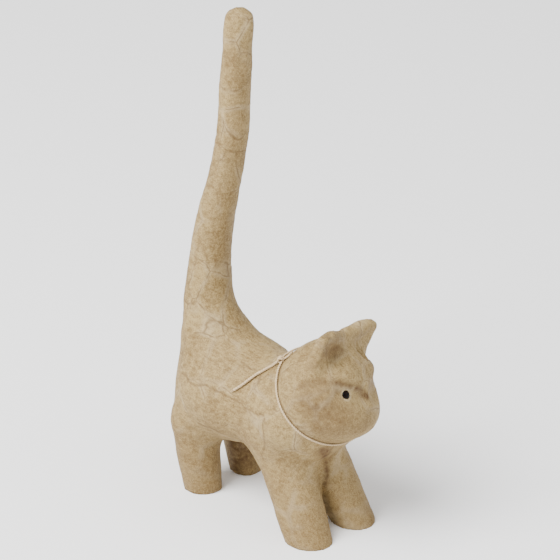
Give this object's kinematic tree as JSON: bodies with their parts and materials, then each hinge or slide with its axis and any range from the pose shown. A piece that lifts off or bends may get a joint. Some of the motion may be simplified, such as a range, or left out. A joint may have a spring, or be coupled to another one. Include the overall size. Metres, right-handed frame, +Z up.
{
  "type": "papier-mache cat figure",
  "caption": "Standing cat figure in plain kraft papier-mache with a tall raised tail, black bead eyes and a cotton string tied round its neck.",
  "frame": {"origin": "bottom centre of the cat's box, on the surface that its soles stand on", "axes": "+Z up along the tail, -Y the way the cat faces, +X to the cat's own left"},
  "size_m": [0.0856, 0.1652, 0.35],
  "materials": {
    "paper": "matt kraft paper",
    "bead": "glossy black",
    "cotton": "twisted natural cotton"
  },
  "bodies": {
    "root": {"cat": "paper", "eye_left": "bead", "eye_right": "bead", "neck_string": "cotton"}
  },
  "joints": []
}
